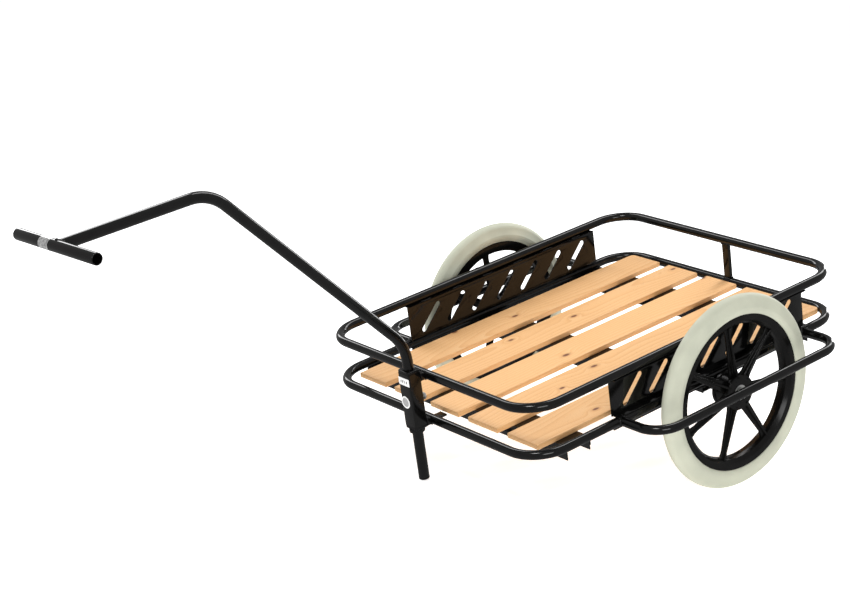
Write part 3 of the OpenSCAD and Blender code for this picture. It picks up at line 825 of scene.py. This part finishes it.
def hub(bm):
    """The hub barrel with a disc and a bearing's pocket at each end."""
    pocket = BEARING_R
    corners = [
        (0.009, HUB_INNER + BEARING_W, 0),
        (pocket, HUB_INNER + BEARING_W, 0),
        (pocket, HUB_INNER, 0),
        (HUB_DISC_R, HUB_INNER, 0),
        (HUB_DISC_R, HUB_INNER + 0.008, 0),
        (HUB_R, HUB_INNER + 0.008, 0),
        (HUB_R, RIM_HALF - 0.008, 0),
        (HUB_DISC_R, RIM_HALF - 0.008, 0),
        (HUB_DISC_R, RIM_HALF, 0),
        (pocket, RIM_HALF, 0),
        (pocket, RIM_HALF - BEARING_W, 0),
        (0.009, RIM_HALF - BEARING_W, 0),
    ]
    lathe(bm, [(p.x, p.y) for p in rounded(corners, 0.0016, True, 5)], 96)


def spoke(bm, turn):
    """A cruciform spoke: a web in the wheel's plane crossed by a rib, flared at both ends."""
    start, end = HUB_R - 0.003, RIM_INNER_R + 0.003
    half = SPOKE_WEB / 2
    rings = []
    for k in range(33):
        f = k / 32
        root = 0.0030 * max(0.0, 1 - f / 0.16) ** 2
        flare = 0.0065 * max(0.0, (f - 0.80) / 0.20) ** 2
        wide = 0.0115 - 0.0050 * f + root + flare
        deep = 0.0125 - 0.0065 * f + root + 0.5 * flare
        quarter = [(wide, -half), (wide, half), (half, half), (half, deep)]
        corners = quarter + [(-half, deep), (-half, half), (-wide, half), (-wide, -half)]
        corners += [(-half, -half), (-half, -deep), (half, -deep), (half, -half)]
        outline = rounded([(u, v, 0) for u, v in corners], 0.0016, True, 4)
        x = start + (end - start) * f
        rings.append([bm.verts.new(turn @ Vector((x, p.x, p.y))) for p in outline])
    skin(bm, rings)


def wheel(side, word):
    bm = bmesh.new()
    rim(bm)
    hub(bm)
    for i in range(SPOKES):
        angle = math.radians(SPOKE_TURN) + i * 2 * math.pi / SPOKES
        spoke(bm, Matrix.Rotation(angle, 4, "Z"))
    name = f"wheel_moulding_{word}"
    nodes = [f"wheel_{word}"]
    piece(name, bm, f"wheel_{word}", WHEEL_PLASTIC, on_axle(side), nodes, 30)


def tyre(side, word):
    """The solid tyre: a crowned tread on a wider belly, over a narrow bead."""
    bm = bmesh.new()
    crown_r, belly_r = 0.014, TYRE_W / 2
    crown_x, belly_x = TYRE_R - crown_r, 0.172
    lip = RIM_HALF - 0.004
    lean = math.asin((belly_r - crown_r) / (crown_x - belly_x))
    shoulder = math.pi / 2 - lean
    heel = math.acos((RIM_R - belly_x) / belly_r)
    arcs = (
        (belly_x, belly_r, -heel, -shoulder, 22),
        (crown_x, crown_r, -shoulder, shoulder, 64),
        (belly_x, belly_r, shoulder, heel, 22),
    )
    profile = [(BEAD_R, -lip), (RIM_R, -lip)]
    for middle, r, first, last, count in arcs:
        for k in range(count + 1):
            a = first + (last - first) * k / count
            groove = 0.00025 if r == belly_r and k % 5 == 2 else 0.0
            profile.append((middle + (r - groove) * math.cos(a), (r - groove) * math.sin(a)))
    profile += [(RIM_R, lip), (BEAD_R, lip)]
    lathe(bm, profile, 224)
    name = f"tyre_ring_{word}"
    piece(name, bm, f"wheel_{word}", TYRE, on_axle(side), [f"tyre_{word}"], 50)


def bearings(side, word):
    """Two bearings: an outer race, a sunk seal and an inner race."""
    bm = bmesh.new()
    bore = AXLE_R + 0.00005
    for start in (HUB_INNER, RIM_HALF - BEARING_W):
        end = start + BEARING_W
        faces = []
        for z, sunk in ((start, 0.0006), (end, -0.0006)):
            row = [(bore, z), (bore + 0.0022, z), (bore + 0.0024, z + sunk)]
            row += [(BEARING_R - 0.0026, z + sunk), (BEARING_R - 0.0024, z), (BEARING_R, z)]
            faces.append(row)
        lathe(bm, faces[0] + list(reversed(faces[1])), 64)
    name = f"bearing_pair_{word}"
    piece(name, bm, f"wheel_{word}", STEEL, on_axle(side), [f"bearings_{word}"])


# ---------------------------------------------------------------- handle socket

SOCKET_FRONT = LEG_Y - SOCKET_D / 2
SOCKET_BACK = LEG_Y + SOCKET_D / 2


def handle_socket():
    bm = bmesh.new()
    outer = rectangle(SOCKET_W, SOCKET_D, 0.0030)
    inner = rectangle(SOCKET_W - 2 * SOCKET_WALL, SOCKET_D - 2 * SOCKET_WALL, 0.0012)
    rings = []
    outside = ((outer, SOCKET_BOTTOM), (outer, SOCKET_TOP))
    inside = ((inner, SOCKET_TOP), (inner, SOCKET_BOTTOM))
    for outline, z in outside + inside:
        rings.append([bm.verts.new((x, LEG_Y + y, z)) for x, y in outline])
    skin(bm, rings, closed=True)
    for z in (0, RAIL_GAP):
        for edge in (-0.008, 0.008):
            start = (-SOCKET_W / 2 + 0.002, SOCKET_BACK, z + edge)
            line_weld(bm, start, (SOCKET_W / 2 - 0.002, SOCKET_BACK, z + edge), 0.0018)
    piece("socket_box_tube", bm, "cart", PAINT, nodes=["handle_socket"])


def socket_saddles():
    bm = bmesh.new()
    for z in (0, RAIL_GAP):
        low = (-SOCKET_W / 2, SOCKET_BACK, z - 0.008)
        slab(bm, low, (SOCKET_W / 2, -HALF_L, z + 0.008), 0.0012)
        for up in (-1, 1):
            y, lift = -HALF_L - TUBE_R * 0.54, z + up * 0.0080
            line_weld(bm, (-SOCKET_W / 2, y, lift), (SOCKET_W / 2, y, lift), 0.0021)
    piece("socket_saddle_pair", bm, "cart", PAINT, nodes=["socket_saddles"])


def socket_bush(up, z, word):
    """A moulded bush: its flange lies on the socket's end and its spigot inside."""
    bm = bmesh.new()
    hole = circle(BAR_R + 0.00005, 64)
    flange = rectangle(SOCKET_W, SOCKET_D, 0.0045)
    spigot = rectangle(SOCKET_W - 0.0062, SOCKET_D - 0.0062, 0.0012)
    plate(bm, [flange, hole], 0, BUSH_FLANGE, ease=0.0014)
    plate(bm, [spigot, hole], -0.022, 0.0005, ease=0.0004)
    place = DECK @ Matrix.Translation((0, LEG_Y, z)) @ Matrix.Scale(up, 4, (0, 0, 1))
    name = f"socket_bush_moulding_{word}"
    piece(name, bm, "cart", BUSH_PLASTIC, place, [f"socket_bush_{word}"])


def clamp():
    """The welded nut behind the socket and the screw in it."""
    across = DECK @ Matrix.Translation((0, LEG_Y, CLAMP_Z)) @ Matrix.Rotation(-math.pi / 2, 4, "X")
    back = SOCKET_D / 2
    nut = bmesh.new()
    plate(nut, [circle(0.0075, 6), circle(0.0041, 32)], back, back + 0.0065, ease=0.0006)
    piece("clamp_nut_welded", nut, "cart", PAINT, across, ["clamp_nut"])
    screw = bmesh.new()
    head = back + 0.0095
    tip = BAR_R + RUNNING_GAP
    thread = [(0.0030, tip), (0.0040, tip + 0.001)]
    turns = 9
    for k in range(turns):
        z = tip + 0.0015 + k * (head - tip - 0.0030) / turns
        thread += [(0.0040, z), (0.0035, z + 0.0006), (0.0040, z + 0.0011)]
    thread.append((0.0040, head))
    lathe(screw, thread, 32, closed=False)
    hexagon(screw, 0.0075, head, head + 0.0055)
    piece("clamp_screw_bolt", screw, "clamp_screw", STEEL, across, ["clamp_screw"])


def stickers():
    """A plain label with a few strokes, and a round badge with a pale ring."""
    upright = Matrix.Rotation(math.pi / 2, 4, "X")
    at = DECK @ Matrix.Translation((0, SOCKET_FRONT, 0.095)) @ upright
    label = bmesh.new()
    plate(label, [rectangle(0.033, 0.016, 0.001)], 0, 0.0004, ease=0.0001)
    piece("socket_label_sheet", label, "cart", LABEL_PAPER, at, ["socket_label"])
    marks = bmesh.new()
    for x, width in ((-0.009, 0.0022), (-0.0035, 0.0030), (0.0025, 0.0018), (0.0085, 0.0028)):
        bar = rectangle(width, 0.0055, 0.0006, 2)
        plate(marks, [[(x + u + 0.25 * v, v) for u, v in bar]], 0.0003, 0.0005, ease=0.00005)
    piece("socket_label_strokes", marks, "cart", LABEL_INK, at)
    at = DECK @ Matrix.Translation((-0.004, SOCKET_FRONT, 0.0495)) @ upright
    ring = bmesh.new()
    plate(ring, [circle(0.013, 64), circle(0.0098, 64)], 0, 0.0004, ease=0.0001)
    piece("socket_badge_ring", ring, "cart", LABEL_PAPER, at, ["socket_badge"])
    disc = bmesh.new()
    plate(disc, [circle(0.0099, 64)], 0, 0.00035, ease=0.0001)
    piece("socket_badge_disc", disc, "cart", BADGE_GREY, at)


# ---------------------------------------------------------------- handle


def handle_bar():
    """The bent tube, coped onto the grip, with the bead that joins them."""
    bm = bmesh.new()
    foot = (0, LEG_Y, -LEG_DROP + PLUG_H)
    bends = [(0, LEG_Y, BEND_1_Z), (0, LEG_Y - BEND_2_REACH, BEND_2_Z)]
    grip = Vector((0, GRIP_Y, GRIP_Z))
    path = rounded([foot, *bends, grip], BAR_BEND_R, steps=24)
    rings = sweep(bm, path, BAR_R, ease=0.0003)
    way = (path[-1] - path[-2]).normalized()
    coped_r = BAR_R - 0.0005
    for ring in rings[-2:]:
        for vert in ring:
            height = (vert.co - grip).dot(Vector((0, -way.z, way.y)))
            reach = math.sqrt(max(0.0, coped_r**2 - height**2))
            vert.co -= way * ((vert.co - grip).dot(way) + reach)
    saddle_weld(bm, grip, (1, 0, 0), -way, BAR_R, BAR_R * 0.995, 0.0022)
    piece("handle_tube", bm, "handle", PAINT, HANDLE, ["handle_bar"])


def grip_bar():
    """The open cross tube, with eased lips."""
    bm = bmesh.new()
    half, bore = GRIP_L / 2, BAR_R - BAR_WALL
    corners = [(bore, -half, 0), (BAR_R, -half, 0), (BAR_R, half, 0), (bore, half, 0)]
    lathe(bm, [(p.x, p.y) for p in rounded(corners, 0.0007, True, 4)], 56)
    at = HANDLE @ Matrix.Translation((0, GRIP_Y, GRIP_Z)) @ Matrix.Rotation(math.pi / 2, 4, "Y")
    piece("grip_tube", bm, "handle", PAINT, at, ["grip_bar"])


def grip_label():
    """A wrapped foil strip with an uneven edge."""
    bm = bmesh.new()
    start, end, lift = -0.042, -0.013, 0.0003
    count = 72
    rings = []
    for across in range(9):
        f = across / 8
        ring = []
        for k in range(count):
            a = 2 * math.pi * k / count
            wobble = 0.0010 * noise.noise(Vector((math.cos(a), math.sin(a), 3.0)) * 2.5)
            x = start + (end - start) * f + wobble * f
            crease = 0.00012 * noise.noise(Vector((x * 260, a * 4, 1.0)))
            r = BAR_R + lift * 0.7 + crease
            ring.append(bm.verts.new((x, r * math.cos(a), r * math.sin(a))))
        rings.append(ring)
    skin(bm, rings, caps=False)
    at = HANDLE @ Matrix.Translation((0, GRIP_Y, GRIP_Z))
    piece("grip_foil", bm, "handle", FOIL, at, ["grip_label"], 60)


def handle_fittings():
    """The foot plug and the stop collar on the leg."""
    foot = bmesh.new()
    bore, spigot_end = BAR_R - BAR_WALL, 0.022
    profile = [(BAR_R - 0.0012, 0), (BAR_R, 0.0012), (BAR_R, PLUG_H)]
    profile += [(bore, PLUG_H), (bore, spigot_end)]
    lathe(foot, profile, 56, closed=False)
    at = HANDLE @ Matrix.Translation((0, LEG_Y, -LEG_DROP))
    piece("leg_foot_plug", foot, "handle", BUSH_PLASTIC, at, ["leg_plug"])
    collar = bmesh.new()
    top = SOCKET_BOTTOM - BUSH_FLANGE - RUNNING_GAP
    low = top - 0.008
    corners = [(BAR_R, low, 0), (0.016, low, 0), (0.016, top, 0), (BAR_R, top, 0)]
    lathe(collar, [(p.x, p.y) for p in rounded(corners, 0.0012, True, 4)], 64)
    at = HANDLE @ Matrix.Translation((0, LEG_Y, 0))
    piece("leg_stop_collar", collar, "handle", PAINT, at, ["stop_collar"])


# ---------------------------------------------------------------- stage, light and camera


def stage():
    """A white floor that glows a little, and soft boxes above, behind and beside the cart."""
    m = Nodes("studio_floor")
    tone = m.noise(0.6, 2)
    floor_colour = m.ramp(tone, (0.0, (0.95, 0.95, 0.95)), (1.0, (0.97, 0.97, 0.97)))
    m.link(floor_colour, m.shader.inputs["Emission Color"])
    material = m.done(floor_colour, m.spread(tone, 0.85, 0.95), emission_strength=0.64)
    mesh = bpy.data.meshes.new("studio_floor")
    reach = 60
    corners = [(-reach, -reach, 0), (reach, -reach, 0), (reach, reach, 0), (-reach, reach, 0)]
    mesh.from_pydata(corners, [], [(0, 1, 2, 3)])
    mesh.materials.append(material)
    floor = bpy.data.objects.new("studio_floor", mesh)
    floor.location.z = -0.0005
    # Left out of reflections, so that the black paint stays dark
    floor.visible_glossy = False
    SCENE.collection.objects.link(floor)
    world = bpy.data.worlds.new("studio")
    world.use_nodes = True
    world.node_tree.nodes["Background"].inputs["Color"].default_value = (1, 1, 1, 1)
    world.node_tree.nodes["Background"].inputs["Strength"].default_value = 0.42
    SCENE.world = world
    # Name, place, what it points at, length, width, power, and the way its length runs
    lights = (
        ("key", (1.0, -2.0, 3.0), (0, 0.1, 0.25), 0.9, 0.6, 30, (1, 0, 0)),
        ("along", (-0.4, 1.8, 2.6), (0, 0.2, 0.2), 2.6, 0.7, 40, (0, 1, 0)),
        ("across", (-2.2, 0.2, 2.0), (0, 0.0, 0.2), 2.4, 0.6, 34, (1, 0, 0)),
        ("behind", (-0.7, 3.3, 0.9), (0, 0.0, 0.3), 1.6, 0.5, 30, (0, 0, 1)),
        ("fill", (3.1, -1.2, 1.1), (0.1, 0.1, 0.2), 1.4, 1.0, 26, (0, 1, 0)),
    )
    for name, spot, aim, size, width, power, run in lights:
        data = bpy.data.lights.new(name, "AREA")
        data.shape = "RECTANGLE"
        data.size, data.size_y = size, width
        data.energy = power
        light = bpy.data.objects.new(name, data)
        back = (Vector(spot) - Vector(aim)).normalized()
        side = (Vector(run) - back * back.dot(Vector(run))).normalized()
        turn = Matrix((side, back.cross(side), back)).transposed().to_4x4()
        light.matrix_world = Matrix.Translation(spot) @ turn
        SCENE.collection.objects.link(light)
    SCENE.view_settings.view_transform = "Standard"


def camera():
    """The camera, aimed by its azimuth, elevation and roll in degrees."""
    azimuth, elevation, roll = (math.radians(v) for v in (51.528, 14.419, 1.758))
    level = math.cos(elevation)
    back = Vector((math.sin(azimuth) * level, -math.cos(azimuth) * level, math.sin(elevation)))
    data = bpy.data.cameras.new("camera")
    data.lens, data.sensor_width, data.clip_end = 84.19, 36, 200
    place = (2.9448, -2.3505, 1.3444)
    view = bpy.data.objects.new("camera", data)
    turn = (-back).to_track_quat("-Z", "Y").to_matrix().to_4x4()
    view.matrix_world = (
        Matrix.Translation(place) @ turn @ Matrix.Rotation(roll, 4, "Z")
    )
    SCENE.collection.objects.link(view)
    SCENE.camera = view


# ---------------------------------------------------------------- building

rail("upper_rail_tube", "upper_rail", RAIL_GAP)
rail("lower_rail_tube", "lower_rail", 0)
rear_post()
front_lug()
for step, place_word in ((-1, "front"), (0, "middle"), (1, "rear")):
    cross_member(MEMBER_Y + step * MEMBER_PITCH, place_word)
for number in range(5):
    plank(number)
plank_screws()
axle_hardware()
for side_sign, side_word in ((1, "left"), (-1, "right")):
    side_panel(side_sign, side_word)
    wheel_guard(side_sign, side_word)
    axle_bracket(side_sign, side_word)
    axle(side_sign, side_word)
    spacer(side_sign, side_word)
    wheel(side_sign, side_word)
    tyre(side_sign, side_word)
    bearings(side_sign, side_word)
handle_socket()
socket_saddles()
socket_bush(1, SOCKET_TOP, "top")
socket_bush(-1, SOCKET_BOTTOM, "bottom")
clamp()
stickers()
handle_bar()
grip_bar()
grip_label()
handle_fittings()
stage()
camera()
